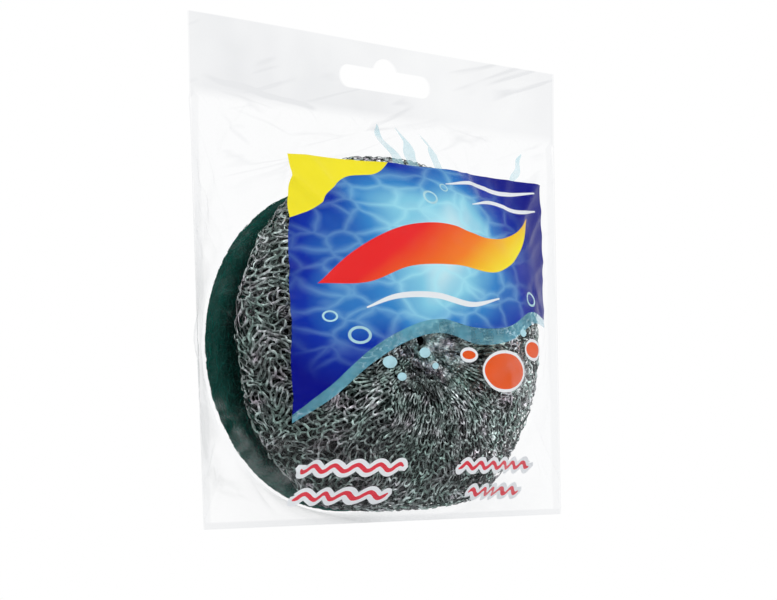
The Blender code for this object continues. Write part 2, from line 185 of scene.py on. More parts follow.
class Shader:
    """The nodes of a new material, or of a world, and short ways to add to them."""

    def __init__(self, owner, use="Material"):
        self.owner = bpy.data.materials.new(owner) if isinstance(owner, str) else owner
        self.owner.use_nodes = True
        self.tree = self.owner.node_tree
        self.tree.nodes.clear()
        self.output = self.tree.nodes.new(f"ShaderNodeOutput{use}")
        self.place = self.node("TexCoord", out="Object")

    def node(self, kind, inputs=(), out=0, **settings):
        """Adds a node, and returns the socket that its result comes out of."""
        made = self.tree.nodes.new(f"ShaderNode{kind}")
        for key, value in settings.items():
            setattr(made, key, value)
        for key, value in dict(inputs).items():
            self.give(made.inputs[key], value)
        return made.outputs[out]

    def give(self, socket, value):
        if isinstance(value, bpy.types.NodeSocket):
            self.tree.links.new(value, socket)
        else:
            socket.default_value = value

    def axes(self):
        """The x, y and z of each place on the object."""
        return self.node("SeparateXYZ", {0: self.place}).node.outputs

    def noise(self, scale, detail=3.0, roughness=0.55, distortion=0.0, place=None):
        inputs = {"Scale": scale, "Detail": detail, "Roughness": roughness, "Distortion": distortion}
        return self.node("TexNoise", {"Vector": place or self.place, **inputs}, "Fac")

    def ramp(self, value, stops):
        made = self.node("ValToRGB", {"Fac": value}, "Color")
        marks = made.node.color_ramp.elements
        while len(marks) < len(stops):
            marks.new(0.5)
        for mark, (at, colour) in zip(marks, stops):
            mark.position = at
            mark.color = (*colour, 1)
        return made

    def math(self, operation, first, second=0.5, third=0.5, clamp=False):
        inputs = {0: first, 1: second, 2: third}
        return self.node("Math", inputs, operation=operation, use_clamp=clamp)

    def product(self, first, *others):
        for other in others:
            first = self.math("MULTIPLY", first, other)
        return first

    def oval(self, middle, reach=(1.0, 1.0), across=(0, 2)):
        """Distance from a spot along two axes, x and z if not said, in units of its reach along each."""
        squares = []
        for axis, at, far in zip(across, middle, reach):
            side = self.math("MULTIPLY", self.math("SUBTRACT", self.axes()[axis], at), 1 / far)
            squares.append(self.math("MULTIPLY", side, side))
        return self.math("SQRT", self.math("ADD", *squares))

    def spread(self, value, low, high, to_low=0.0, to_high=1.0):
        inputs = {"Value": value, "From Min": low, "From Max": high, "To Min": to_low, "To Max": to_high}
        return self.node("MapRange", inputs, "Result")

    def mix(self, share, first, second, blend="MIX"):
        """Mixes two colours, each of them a socket or three numbers."""
        inputs = {0: share}
        for socket, colour in ((6, first), (7, second)):
            inputs[socket] = colour if isinstance(colour, bpy.types.NodeSocket) else (*colour, 1)
        return self.node("Mix", inputs, 2, data_type="RGBA", blend_type=blend)

    def bump(self, height, strength, distance):
        return self.node("Bump", {"Height": height, "Strength": strength, "Distance": distance})

    def principled(self, colour, roughness, shine=0.5, **inputs):
        inputs |= {"Base Color": colour, "Roughness": roughness, "Specular IOR Level": shine}
        return self.node("BsdfPrincipled", inputs)

    def finish(self, shader):
        self.tree.links.new(shader, self.output.inputs["Surface"])
        return self.owner


# Painted shade of the pleats below the dimple: where its middle is, in x and z, and how far it reaches
PLEAT_SHADE_AT = (-0.005, -0.0800)
PLEAT_SHADE_REACH = (0.009, 0.0065)


def steel_material(name, stops, scale):
    """Drawn stainless wire whose colour paints its glints and shade as light and dark facets, with painted
    shade in the front's pleats and painted light to the right and in the dimple.
    """
    s = Shader(name)
    # painted reflection and shade: noise in light and dark facets stands in for the wire's glints and dark
    # gaps
    grey = s.ramp(s.noise(scale, 3.0, 0.6), [(at, (level, level, level)) for at, level in stops])
    tints = [(0.38, (0.60, 1.0, 0.88)), (0.54, (0.82, 1.0, 0.98)), (0.70, (0.98, 0.86, 1.0))]
    colour = s.mix(0.7, grey, s.ramp(s.noise(150.0, 2.0), tints), "MULTIPLY")
    x, y, _ = s.axes()
    # painted shade: the front darkens round the pleats below the dimple
    ragged = s.spread(s.noise(260.0, 2.0), 0.3, 0.7, -0.35, 0.35)
    pleat_shade = s.spread(s.math("ADD", s.oval(PLEAT_SHADE_AT, PLEAT_SHADE_REACH), ragged), 0.4, 1.4, 0.60, 0.0)
    # painted light: the front is brighter towards the right and in the dimple's middle
    dimple_light = s.spread(s.oval((0.0, CENTRE_Z)), 0.006, 0.010, 1.0, 0.0)
    painted_light = s.math("MAXIMUM", s.spread(x, -0.024, 0.014, 0.0, 0.55), dimple_light)
    front = s.spread(y, 0.0, -0.006)
    cloud = s.spread(s.noise(75.0, 2.0), 0.36, 0.64, 0.62, 1.30)
    level = s.product(cloud, s.math("MULTIPLY_ADD", front, s.math("SUBTRACT", painted_light, pleat_shade), 1.0))
    level = s.node("CombineXYZ", {0: level, 1: level, 2: level})
    colour = s.mix(1.0, colour, level, "MULTIPLY")
    roughness = s.spread(s.noise(900.0, 2.0), 0.3, 0.7, 0.26, 0.48)
    return s.finish(s.principled(colour, roughness, Metallic=1.0))


def pad_material(name, shade):
    """Green nonwoven, darker between its fibres as painted shade, and paler at its rim as a painted
    highlight.
    """
    s = Shader(name)
    deep, fresh, rim_highlight = (
        tuple(shade * part for part in colour)
        for colour in ((0.0005, 0.014, 0.012), (0.003, 0.088, 0.068), (0.006, 0.130, 0.100))
    )
    stretched = s.node("Mapping", {"Vector": s.place, "Scale": (1.0, 1.0, 0.35)})
    fibres = s.noise(1500.0, 4.0, 0.7, 1.5)
    strands = s.noise(800.0, 3.0, 0.7, 2.5, stretched)
    total = s.math("MULTIPLY_ADD", strands, 0.45, s.math("MULTIPLY", fibres, 0.35))
    total = s.math("MULTIPLY_ADD", s.noise(110.0, 3.0), 0.20, total)
    colour = s.ramp(total, [(0.42, deep), (0.60, fresh)])
    # painted highlight: the pad's colour turns paler towards its rim
    rim = s.spread(s.oval((0.0, CENTRE_Z)), PAD_RADIUS - 0.0016, PAD_RADIUS, 0.0, 0.35)
    normal = s.bump(s.math("ADD", fibres, strands), 0.9, 0.0008)
    return s.finish(s.principled(s.mix(rim, colour, rim_highlight), 0.85, 0.12, Normal=normal))


def thin_lines(s, scale, turn, sharp):
    """Long, thin, wandering lines at a slope, from 0 to 1."""
    turned = s.node("Mapping", {"Vector": s.place, "Rotation": (0, math.radians(turn), 0)})
    drawn = s.node("Mapping", {"Vector": turned, "Scale": (0.10, 0.5, 1.0)})
    ridge = s.math("ABSOLUTE", s.math("SUBTRACT", s.noise(scale, 2.0, 0.5, 0.3, drawn), 0.5))
    return s.spread(ridge, 0.0, sharp, 1.0, 0.0)


# Painted shade of the film's long creases: where each starts and ends, its half width and how dark it is
LONG_CREASE_SHADES = (
    (-0.0600, -0.0054, -0.0235, -0.0104, 0.0009, 1.2),
    (-0.0560, -0.0080, -0.0380, -0.0118, 0.0006, 0.6),
    (-0.0540, -0.0125, -0.0370, -0.0188, 0.0007, 0.7),
    (0.0190, -0.0090, 0.0365, -0.0131, 0.0007, 0.7),
)
CREASE_FADES = (0.012, 0.003)
CREASE_WANDER = 0.0015

# Painted glare over the lower left corner bends round a spot, and starts, is full, fades and ends at these
# radii
GLARE_CORNER_AT = (-0.0345, -0.0806)
GLARE_CORNER_RADII = (0.0224, 0.0240, 0.0270, 0.0290)

# Tint of the clear film, and of film that is grey all through
CLEAR_TINT = (0.988, 0.990, 0.992)
GREY_TINT = (0.905, 0.910, 0.918)
SEAM_GREY = 0.55


def film_haze_and_glare(s, x, z):
    """How milky the film is: scuffs all over and paler towards the bottom, with painted glare over the lower
    left corner and low on the right.
    """
    scuffs, clouds = s.noise(240.0, 5.0, 0.7, 0.8), s.noise(34.0, 3.0, 0.6, 0.5)
    total = s.math("MULTIPLY_ADD", scuffs, 0.4, s.math("MULTIPLY", clouds, 0.7))
    haze = s.spread(total, 0.60, 0.95, 0.0, 0.04)
    low = s.product(s.spread(z, -0.086, -0.104), s.spread(s.math("ABSOLUTE", x), 0.046, 0.056, 0.018, 0.0))
    bend = s.oval(GLARE_CORNER_AT)
    starts, full, fades, ends = GLARE_CORNER_RADII
    # painted reflection: a pale glare over the lower left corner
    corner_glare = s.product(
        s.spread(z, -0.082, -0.092),
        s.spread(x, -0.036, -0.044),
        s.spread(bend, starts, full),
        s.spread(bend, ends, fades),
        s.spread(s.noise(160.0, 4.0, 0.6, 0.8), 0.35, 0.65, 0.0, 0.11),
    )
    # painted reflection: a pale glare low on the right
    right = s.product(
        s.spread(z, -0.068, -0.080),
        s.spread(x, 0.008, 0.030),
        s.spread(x, 0.052, 0.044),
        s.spread(s.noise(70.0, 3.0, 0.6, 0.8), 0.35, 0.65, 0.0, 0.10),
    )
    for part in (low, corner_glare, right):
        haze = s.math("ADD", haze, part)
    return haze


def film_grey(s, x, z):
    """How grey the film is: its welded header and its seams, with painted shade along its creases."""
    patches = s.spread(s.noise(24.0, 3.0), 0.35, 0.65, 0.35, 1.0)
    welded = s.spread(z, FOLD_Z - 0.0010, FOLD_Z + 0.0020)
    header = s.product(welded, s.spread(x, -0.02, 0.03, 1.0, 0.5), patches)
    slope = (TOP_HALF_WIDTH - BOTTOM_HALF_WIDTH) / (SHEET_TOP - POUCH_BOTTOM)
    border = s.math("MULTIPLY_ADD", z, slope, TOP_HALF_WIDTH - slope * HEADER_TOP_Z)
    beside = s.math("SUBTRACT", border, s.math("ABSOLUTE", x))
    side_seam = s.spread(beside, 0.0011, 0.0015, SEAM_GREY, 0.0)
    bottom = CENTRE_Z + POUCH_BOTTOM
    bottom_seam = s.spread(z, bottom + 0.0013, bottom + 0.0018, SEAM_GREY, 0.0)
    grey = s.math("MAXIMUM", header, s.math("MAXIMUM", side_seam, bottom_seam))
    some = s.spread(s.noise(30.0, 2.0), 0.5, 0.62)
    # painted shade: grey lines along the film's creases
    crease_shade = s.product(thin_lines(s, 110.0, 16.0, 0.035), some, s.spread(z, -0.045, -0.015))
    grey = s.math("MULTIPLY_ADD", crease_shade, 0.9, grey)
    wander = s.spread(s.noise(70.0, 2.0), 0.0, 1.0, -CREASE_WANDER, CREASE_WANDER)
    for x0, z0, x1, z1, half, dark in LONG_CREASE_SHADES:
        fall = (z1 - z0) / (x1 - x0)
        off = s.math("ADD", s.math("MULTIPLY_ADD", x, -fall, z), fall * x0 - z0)
        line = s.spread(s.math("ABSOLUTE", s.math("ADD", off, wander)), 0.0, half, dark, 0.0)
        ends = s.product(s.spread(x, x0, x0 + CREASE_FADES[0]), s.spread(x, x1, x1 - CREASE_FADES[1]))
        grey = s.math("MULTIPLY_ADD", line, ends, grey)
    return grey


def film_material():
    """Clear film: it mirrors at a glance, its seams are grey, its creases grey as painted shade, its scuffs
    show pale, and painted glare shows pale low on the left and right.
    """
    s = Shader("clear_bag_film")
    x, _, z = s.axes()
    normal = s.bump(s.noise(160.0, 2.0, 0.5, 0.6), 0.05, 0.0006)
    facing = s.node("LayerWeight", {"Blend": 0.5, "Normal": normal}, "Facing")
    shine = s.math("MULTIPLY_ADD", s.math("POWER", facing, 7.0), 0.5, 0.002)
    cover = s.math("ADD", shine, film_haze_and_glare(s, x, z), clamp=True)
    tint = s.mix(film_grey(s, x, z), CLEAR_TINT, GREY_TINT)
    clear = s.node("BsdfTransparent", {"Color": tint})
    inputs = {"Color": (0.92, 0.93, 0.94, 1), "Roughness": 0.16, "Normal": normal}
    gloss = s.node("BsdfGlossy", inputs)
    milk = s.node("BsdfDiffuse", {"Color": (0.86, 0.88, 0.90, 1)})
    skin = s.node("MixShader", {0: 0.35, 1: gloss, 2: milk})
    return s.finish(s.node("MixShader", {0: cover, 1: clear, 2: skin}))


def ink_material(name, colour_of, cover=1.0):
    """Printing ink with a white underprint, which shows from behind with some light coming through."""
    s = Shader(name)
    grain = s.noise(900.0, 2.0)
    printed_colour = colour_of(s)
    colour = s.mix(s.spread(grain, 0.45, 0.8, 0.0, 0.008), printed_colour, (0.5, 0.5, 0.52))
    behind = s.node("NewGeometry", out="Backfacing")
    colour = s.mix(behind, colour, (0.84, 0.85, 0.87))
    ink = s.principled(colour, 0.45, 0.05, Normal=s.bump(grain, 0.05, 0.0002))
    paled = s.mix(0.35, printed_colour, (0.9, 0.9, 0.9))
    through = s.node("BsdfTranslucent", {"Color": paled})
    ink = s.node("MixShader", {0: s.math("MULTIPLY", behind, 0.4), 1: ink, 2: through})
    if cover < 1:
        thin = s.node("BsdfTransparent")
        share = s.spread(s.noise(110.0, 3.0), 0.3, 0.7, cover - 0.25, cover + 0.25)
        ink = s.node("MixShader", {0: share, 1: thin, 2: ink})
    return s.finish(ink)


# The bag


def half_width(height):
    """Half width of the bag at a height from the scrubber's centre."""
    share = (height - POUCH_BOTTOM) / (SHEET_TOP - POUCH_BOTTOM)
    return BOTTOM_HALF_WIDTH + share * (TOP_HALF_WIDTH - BOTTOM_HALF_WIDTH)


def uneased(height):
    room = BOTTOM_LEVEL - EASE_START
    share = np.clip((-height - EASE_START) / room, 0, 0.999999)
    return np.where(height > -EASE_START, height, -(EASE_START + room * np.arctanh(share)))


def lens(radius, half_depth, at_radius):
    share = np.clip(at_radius / radius, 0, 1)
    return half_depth * np.sqrt(np.clip(1 - share ** (2 / SHOULDER), 0, None))


def content(side, x, height):
    """How far the scrubber stands out of the bag's middle plane, and zero beside it."""
    radius = np.hypot(x, uneased(height))
    inside = radius < BUN_RADIUS
    if side < 0:
        return np.where(inside, lens(BUN_RADIUS, BUN_FRONT_DEPTH, radius) - BUN_MIDDLE_Y, 0)
    rear = np.where(inside, lens(BUN_RADIUS, BUN_REAR_DEPTH, radius) + BUN_MIDDLE_Y, 0)
    past = np.hypot(x, height) - (PAD_RADIUS - PAD_EDGE)
    bend = PAD_BACK_Y - PAD_EDGE + np.sqrt(np.clip(PAD_EDGE**2 - np.clip(past, 0, None) ** 2, 0, None))
    return np.where(past < PAD_EDGE, np.maximum(rear, bend), rear)


def seam_length(turn):
    """Distance from the scrubber's centre to the bag's seam, along each turn."""
    across, up = np.cos(turn), np.sin(turn)
    slope = (half_width(POUCH_TOP) - half_width(POUCH_BOTTOM)) / (POUCH_TOP - POUCH_BOTTOM)
    sideways = half_width(0) / (np.abs(across) - slope * up)
    sideways = np.where(sideways > 0, sideways, np.inf)
    level = np.where(up > 0, POUCH_TOP, -POUCH_BOTTOM)
    upright = level / np.maximum(np.abs(up), 1e-9)
    return np.minimum(sideways, upright)


class Film:
    """One wall of the bag: how far it stands out at any place, folds and all."""

    TURNS = 720
    SMALL_FOLDS = 34
    SWELL = 0.0006
    RIPPLE = 0.00012
    PUCKER = 0.00045
    PUCKER_REACH = 0.004
    HEADER_WAVE = 0.0005
    HEADER_FULL = 0.02

    def __init__(self, side, seed):
        self.side = side
        turns = round_turn(self.TURNS)
        seams = seam_length(turns)
        shares = np.linspace(0, 0.995, 240)
        reach = shares[:, None] * seams
        depth = self.over(reach * np.cos(turns), reach * np.sin(turns), reach)
        steep = (depth - FILM_EDGE_Y) / (1 - shares[:, None])
        best = np.argmax(steep, axis=0)
        self.turns = turns
        self.leaves = shares[best]
        self.height = depth[best, np.arange(self.TURNS)]
        self.folds = []
        for place, wide, share in FILM_FOLD_SHARES:
            turn = place if side < 0 else 0.5 - place
            self.folds.append((TURN * turn, TURN * wide, share * FILM_FOLD_HEIGHT, 0))
        rng = np.random.default_rng(seed)
        for _ in range(self.SMALL_FOLDS):
            turn, wide = rng.uniform(-math.pi, math.pi), rng.uniform(0.012, 0.035)
            self.folds.append((turn, wide, rng.uniform(0.00012, 0.00045), rng.normal(0, 0.12)))
        self.soft = Waves(0.022, seed + 1, 2)
        self.fine = Waves(0.0065, seed + 2, 2)
        self.pucker = Waves(0.0045, seed + 3, 1, 8)

    def over(self, x, height, reach):
        inward = np.clip(reach - 0.0005, 0, None) / np.maximum(reach, 1e-9)
        stands = content(self.side, x * inward, height * inward)
        return np.where(stands > 0, stands + FILM_LIFT, FILM_EDGE_Y)

    def depth(self, x, z):
        """Distance out of the bag's middle plane."""
        height = z - CENTRE_Z
        reach = np.hypot(x, height)
        turn = np.arctan2(height, x) % TURN
        leaves = np.interp(turn, self.turns, self.leaves, period=TURN)
        stood = np.interp(turn, self.turns, self.height, period=TURN)
        share = np.clip(reach / seam_length(turn), 0, 1)
        free = np.clip((share - leaves) / (1 - leaves), 0, 1)
        tent = stood + (FILM_EDGE_Y - stood) * free
        depth = np.where(share < leaves, self.over(x, height, reach), tent) + self.lift(x, z, turn, free)
        return np.where(z > FOLD_Z, FILM_EDGE_Y + self.header_lift(x, z), depth)

    def lift(self, x, z, turn, free):
        """Folds and ripples where the film hangs free between the scrubber and the seam."""
        middle = np.sin(math.pi * free)
        total = middle * self.SWELL * (0.6 + self.soft(x, z)) ** 2
        for at, wide, high, drift in self.folds:
            off = (turn - at - drift * (free - 0.5) + math.pi) % TURN - math.pi
            total = total + high * middle * np.exp(-np.abs(off / wide) ** 1.4)
        taut = 1 - smoothstep(0.0, 0.15, free)
        total = total + self.RIPPLE * taut * (1 + self.fine(x, z))
        drop = np.clip(FOLD_Z - z, 0, None)
        gathered = np.exp(-drop / self.PUCKER_REACH) * smoothstep(0, 0.0015, drop)
        return total + self.PUCKER * (1 + self.pucker(x)) * gathered

    def header_lift(self, x, z):
        """Shallow creases of the welded header, the same on both its skins."""
        rise = z - FOLD_Z
        keep = smoothstep(0, 0.003, rise) * (rise / self.HEADER_FULL)
        return self.side * self.HEADER_WAVE * keep * np.sin(52 * x + 0.8) + 0.00002


def slot_outline():
    """The hang slot: a bar with round ends and a round notch over its middle."""
    end_x = SLOT_HALF - SLOT_END_RADIUS
    notch_z = NOTCH_RADIUS - SLOT_END_RADIUS
    start = math.asin((SLOT_END_RADIUS - notch_z) / NOTCH_RADIUS)
    arcs = [
        (end_x, 0, SLOT_END_RADIUS, -math.pi / 2, math.pi / 2, 14),
        (0, notch_z, NOTCH_RADIUS, start, math.pi - start, 22),
        (-end_x, 0, SLOT_END_RADIUS, math.pi / 2, 3 * math.pi / 2, 14),
    ]
    points = []
    for x, z, radius, first, last, steps in arcs:
        for turn in np.linspace(first, last, steps + 1):
            points.append((x + radius * math.cos(turn), z + radius * math.sin(turn)))
    return points


def inside(outline, x, z):
    """Which points lie in a closed outline."""
    hit = np.zeros(np.shape(x), bool)
    for (x1, z1), (x2, z2) in zip(outline, outline[1:] + outline[:1]):
        if z1 == z2:
            continue
        crosses = (z1 > z) != (z2 > z)
        hit ^= crosses & (x < (x2 - x1) * (z - z1) / (z2 - z1) + x1)
    return hit


def filled(border, spacing, lines=(), holes=(), margin=0.45):
    """Triangles that fill an outline and keep to the lines drawn in it, as (x, z) points and faces."""
    spots, edges = [], []
    for line in [border, *lines, *holes]:
        first = len(spots)
        spots += [tuple(map(float, point)) for point in line]
        edges += [(first + index, first + (index + 1) % len(line)) for index in range(len(line))]
    drawn = np.array(spots)
    low, high = drawn.min(0), drawn.max(0)
    grid_x, grid_z = np.meshgrid(np.arange(low[0], high[0], spacing), np.arange(low[1], high[1], spacing))
    grid_x = grid_x + (np.arange(len(grid_x)) % 2)[:, None] * spacing / 2
    grid = np.c_[grid_x.ravel(), grid_z.ravel()]
    for point in drawn:
        grid = grid[np.hypot(*(grid - point).T) > margin * spacing]
    found = delaunay_2d_cdt([Vector(point) for point in spots + grid.tolist()], edges, [], 0, 1e-8)
    points = np.array([tuple(point) for point in found[0]])
    faces = np.array([face for face in found[2] if len(face) == 3])
    middle = points[faces].mean(1)
    keep = inside(border, *middle.T)
    for hole in holes:
        keep &= ~inside(hole, *middle.T)
    return points, faces[keep]


# Heights between which the film's rows are spaced, and the window round the slot that is filled by itself
FINE_ROWS_Z = -0.1040
BOTTOM_Z = -0.1146
WINDOW_HALF = 0.0195
WINDOW_TOP_Z = 0.0080
WINDOW_BOTTOM_Z = -0.0055


def film_sheet(name, film, material):
    """One wall of the bag from the header's top to the bottom seam, with the slot cut through."""
    upper_rows = np.linspace(HEADER_TOP_Z, FINE_ROWS_Z, 208, endpoint=False)
    rows_z = np.concatenate([upper_rows, np.linspace(FINE_ROWS_Z, BOTTOM_Z, 44)])
    columns = np.linspace(-1, 1, 232)
    grid_x = columns * half_width(rows_z - CENTRE_Z)[:, None]
    grid_z = np.repeat(rows_z[:, None], len(columns), axis=1)
    index = np.arange(grid_x.size).reshape(grid_x.shape)
    left, right = np.searchsorted(columns * TOP_HALF_WIDTH, [-WINDOW_HALF, WINDOW_HALF])
    top, bottom = np.searchsorted(-rows_z, [-WINDOW_TOP_Z, -WINDOW_BOTTOM_Z])
    quads = np.stack([index[:-1, :-1], index[1:, :-1], index[1:, 1:], index[:-1, 1:]], axis=-1)
    hole = np.zeros(quads.shape[:2], bool)
    hole[top:bottom, left:right] = True
    quads = quads[~hole]
    triangles = np.concatenate([quads[:, [0, 1, 2]], quads[:, [0, 2, 3]]])
    rim = [*index[top, left:right], *index[top:bottom, right]]
    rim += [*index[bottom, right:left:-1], *index[bottom:top:-1, left]]
    flat = np.c_[grid_x.ravel(), grid_z.ravel()]
    patch, patch_faces = filled(flat[rim].tolist(), 0.0006, holes=[slot_outline()])
    points = np.concatenate([flat, patch])
    triangles = np.concatenate([triangles, patch_faces + len(flat)])
    points = np.c_[points[:, 0], film.side * film.depth(points[:, 0], points[:, 1]), points[:, 1]]
    if film.side > 0:
        triangles = triangles[:, ::-1]
    obj = mesh_object(name, points, triangles, material)
    weld(obj)
    return obj


def weld(obj):
    """Joins points that lie on each other, and drops points that no face uses."""
    mesh = bmesh.new()
    mesh.from_mesh(obj.data)
    bmesh.ops.remove_doubles(mesh, verts=mesh.verts, dist=1e-6)
    bmesh.ops.delete(mesh, geom=[vertex for vertex in mesh.verts if not vertex.link_faces], context="VERTS")
    mesh.to_mesh(obj.data)
    mesh.free()


# The knitted steel bun


class Bun:
    """A surface of the bun, a depth below its outside, measured from the neck round to the rear mouth."""

    def __init__(self, inset, bore, mouth, seed):
        self.inset = inset
        radius = BUN_RADIUS - inset
        crown = math.acos((bore / radius) ** (1 / SHOULDER))
        last = math.acos((mouth / radius) ** (1 / SHOULDER))
        slope = np.concatenate([np.linspace(crown, 0, 500), -np.linspace(0, last, 400)[1:]])
        rings = radius * np.cos(slope) ** SHOULDER
        front = slope > 0
        half = np.where(front, BUN_FRONT_DEPTH - inset, BUN_REAR_DEPTH - inset)
        dimple = DIMPLE_DEPTH * np.exp(-((rings / DIMPLE_RADIUS) ** 2))
        depth = -half * np.sin(slope) + np.where(front, dimple, 0)
        self.along = distance_along(np.c_[rings, depth])
        self.rings, self.depth = rings, depth
        self.rim = self.along[np.argmin(np.abs(slope))]
        self.length = self.along[-1]
        self.small = Waves(0.0042, seed + 1)

    def at(self, turn, along):
        """Points of the surface."""
        ring = np.interp(along, self.along, self.rings)
        depth = np.interp(along, self.along, self.depth)
        reach = np.exp(-(((ring - CREASE_RADIUS) / CREASE_REACH) ** 2))
        crease = CREASE_DEPTH * reach * (1 - np.cos(CREASE_COUNT * turn)) / 2
        depth = depth + np.where(along < self.rim, crease, 0)
        lump = self.lump(turn, ring)
        inward = np.stack([BUN_RADIUS / 2 - ring, -depth])
        inward = inward / np.hypot(*inward)
        ring, depth = ring + lump * inward[0], depth + lump * inward[1]
        height = ring * np.sin(turn)
        room = BOTTOM_LEVEL - self.inset - EASE_START
        pressed = -(EASE_START + room * np.tanh((-height - EASE_START) / room))
        height = np.where(height > -EASE_START, height, pressed)
        return np.stack([ring * np.cos(turn), BUN_MIDDLE_Y + depth, CENTRE_Z + height], axis=-1)

    def lump(self, turn, ring):
        """How far the bun is dented, which fades out towards its middle."""
        waves = 0
        for count, drift, start in LUMP_WAVES:
            waves = waves + np.cos(count * turn + TURN * (drift * ring / BUN_RADIUS + start))
        share = (1 - waves / len(LUMP_WAVES)) / 2
        return LUMP_DEPTH * share * (1 - np.exp(-((ring / DIMPLE_RADIUS) ** 2)))

    def frame(self, turn, along):
        """Points and their outward normals."""
        spot = self.at(turn, along)
        sideways = self.at(turn + 0.01, along) - spot
        onward = self.at(turn, along + 0.0003) - spot
        return spot, unit(np.cross(onward, sideways))


def ribbon(centre, normal, twist, wide, thick):
    """Corners of a flat wire along a closed line: an array of (samples, 4, 3)."""
    tangent = unit(np.roll(centre, -1, axis=0) - np.roll(centre, 1, axis=0))
    across = unit(np.cross(tangent, normal))
    out = np.cross(across, tangent)
    cosine, sine = np.cos(twist)[:, None], np.sin(twist)[:, None]
    turned = (across * cosine + out * sine) * wide
    raised = (out * cosine - across * sine) * thick
    return np.stack([centre + turned, centre + raised, centre - turned, centre - raised], axis=1)


# A loop of the knit: how far it reaches along the tube, in pitches, and how far its sides lean, in loops
LOOP_REACH = 0.80
LOOP_LEAN = 0.145
LOOP_BULGE = 0.00030


def knit(name, bun, share, material, wales, pitch, seed, slant, wire, samples):
    """Rows of interlocked loops of flat wire over a stretch of the bun's surface."""
    rng = np.random.default_rng(seed)
    rows = int(bun.length / pitch)
    low, high = int(rows * share[0]), int(rows * share[1])
    count = wales * samples
    phase = np.linspace(0, TURN * wales, count, endpoint=False)
    stitch = np.arange(count) / samples
    loops = np.arange(wales + 1)
    pull, sway = Waves(0.016, seed + 5), Waves(0.010, seed + 6)
    points, faces = [], []
    for row in range(rows):
        jitter = rng.normal(size=(4, wales + 1))
        jitter[:, -1] = jitter[:, 0]
        if not low <= row < high:
            continue
        wobble = [np.interp(stitch, loops, line) for line in jitter]
        along = (row + 0.5) * pitch - LOOP_REACH * pitch * (1 + 0.10 * wobble[0]) * np.cos(phase)
        turn = (phase + TURN * LOOP_LEAN * (1 + 0.15 * wobble[1]) * np.sin(2 * phase)) / wales
        spot = bun.at(turn, along)
        along = along + 0.40 * pitch * pull(*spot.T) + 0.10 * pitch * wobble[2] + slant * np.sin(turn)
        turn = turn + (TURN / wales) * 0.45 * sway(*spot.T)
        along = np.clip(along, 0.0004, bun.length - 0.0004)
        spot, normal = bun.frame(turn, along)
        bulge = LOOP_BULGE * np.cos(2 * phase) + 0.00012 * wobble[3]
        bulge = bulge + 0.00020 * (bun.small(*spot.T) - 1)
        spot = spot + normal * bulge[:, None]
        twist = 0.45 * wobble[0] + 0.6 * np.sin(phase + wobble[1])
        index = (len(points) * count + np.arange(count))[:, None] * 4 + np.arange(4)
        points.append(ribbon(spot, normal, twist, *wire).reshape(-1, 3))
        faces.append(ring_quads(index, closed=True))
    obj = mesh_object(name, np.concatenate(points), np.concatenate(faces), material, smooth=False)
    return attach(obj, "pouch")


def core_shade_sheet(material):
    """A near-black sheet deep in the roll, painted shade that fills the gaps between the knit's wires."""
    bun = Bun(0.0058, 0.0075, 0.0090, 70)
    turn, along = np.meshgrid(round_turn(240), np.linspace(0, bun.length, 170))
    spot, normal = bun.frame(turn, along)
    rough = Waves(0.0035, 71)(spot[..., 0], spot[..., 1], spot[..., 2])
    spot = spot + normal * (0.0005 * (rough - 1))[..., None]
    index = np.arange(turn.size).reshape(turn.shape)
    obj = mesh_object("core_shade_sheet", spot.reshape(-1, 3), ring_quads(index, closed=True), material)
    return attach(obj, "pouch")


# The scouring pad


def pad_section():
    """(radius, depth) from the front's middle over the edge to the back's middle."""
    flat = PAD_RADIUS - PAD_EDGE
    rings = [(flat * share, PAD_FRONT_Y) for share in np.linspace(0.02, 1, 46)]
    for turn in np.linspace(-math.pi / 2, math.pi / 2, 24)[1:-1]:
        depth = PAD_FRONT_Y + PAD_EDGE if turn < 0 else PAD_BACK_Y - PAD_EDGE
        rings.append((flat + PAD_EDGE * math.cos(turn), depth + PAD_EDGE * math.sin(turn)))
    rings += [(flat * share, PAD_BACK_Y) for share in np.linspace(1, 0.02, 60)]
    return np.array(rings)


def tuck(x, height):
    """How far the back is drawn in where the wire crosses it."""
    beside = np.clip(np.abs(x) - TIE_HALF, 0, None)
    return TUCK_DEPTH * np.exp(-((np.hypot(beside, height) / TUCK_REACH) ** 2))


def pad_body(material):
    """The pad: a flat disc with a soft edge, uneven all over and drawn in under its tie."""
    section = pad_section()
    turns = round_turn(330)
    ring = section[:, 0][:, None]
    depth = np.repeat(section[:, 1][:, None], len(turns), axis=1)
    x, height = ring * np.cos(turns), ring * np.sin(turns)
    lump = Waves(0.0060, 41)(x, depth, height)
    nap = Waves(0.0016, 42, count=16)(x, depth, height)
    back = depth > PAD_MIDDLE_Y
    edge = smoothstep(PAD_RADIUS - 2 * PAD_EDGE, PAD_RADIUS, ring)
    sink = (0.00016 * (1 - lump) + 0.00014 * (1 - nap)) * (1 - 0.6 * edge)
    pulled = 1 - edge * sink / PAD_RADIUS
    x, height = x * pulled, height * pulled
    inward = np.where(back, -1, 1) * sink * (1 - 0.6 * edge)
    depth = depth + inward - np.where(back, tuck(x, height), 0)
    points = np.stack([x, depth, CENTRE_Z + height], axis=-1).reshape(-1, 3)
    index = np.arange(len(points)).reshape(len(section), len(turns))
    obj = mesh_object("pad_body", points, ring_quads(index), material)
    close_ends(obj)
    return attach(obj, "pouch")


def close_ends(obj):
    """Fills the open rings at the ends of a turned mesh or of fibres."""
    mesh = bmesh.new()
    mesh.from_mesh(obj.data)
    open_edges = [edge for edge in mesh.edges if edge.is_boundary]
    bmesh.ops.holes_fill(mesh, edges=open_edges, sides=0)
    bmesh.ops.recalc_face_normals(mesh, faces=mesh.faces)
    mesh.to_mesh(obj.data)
    mesh.free()


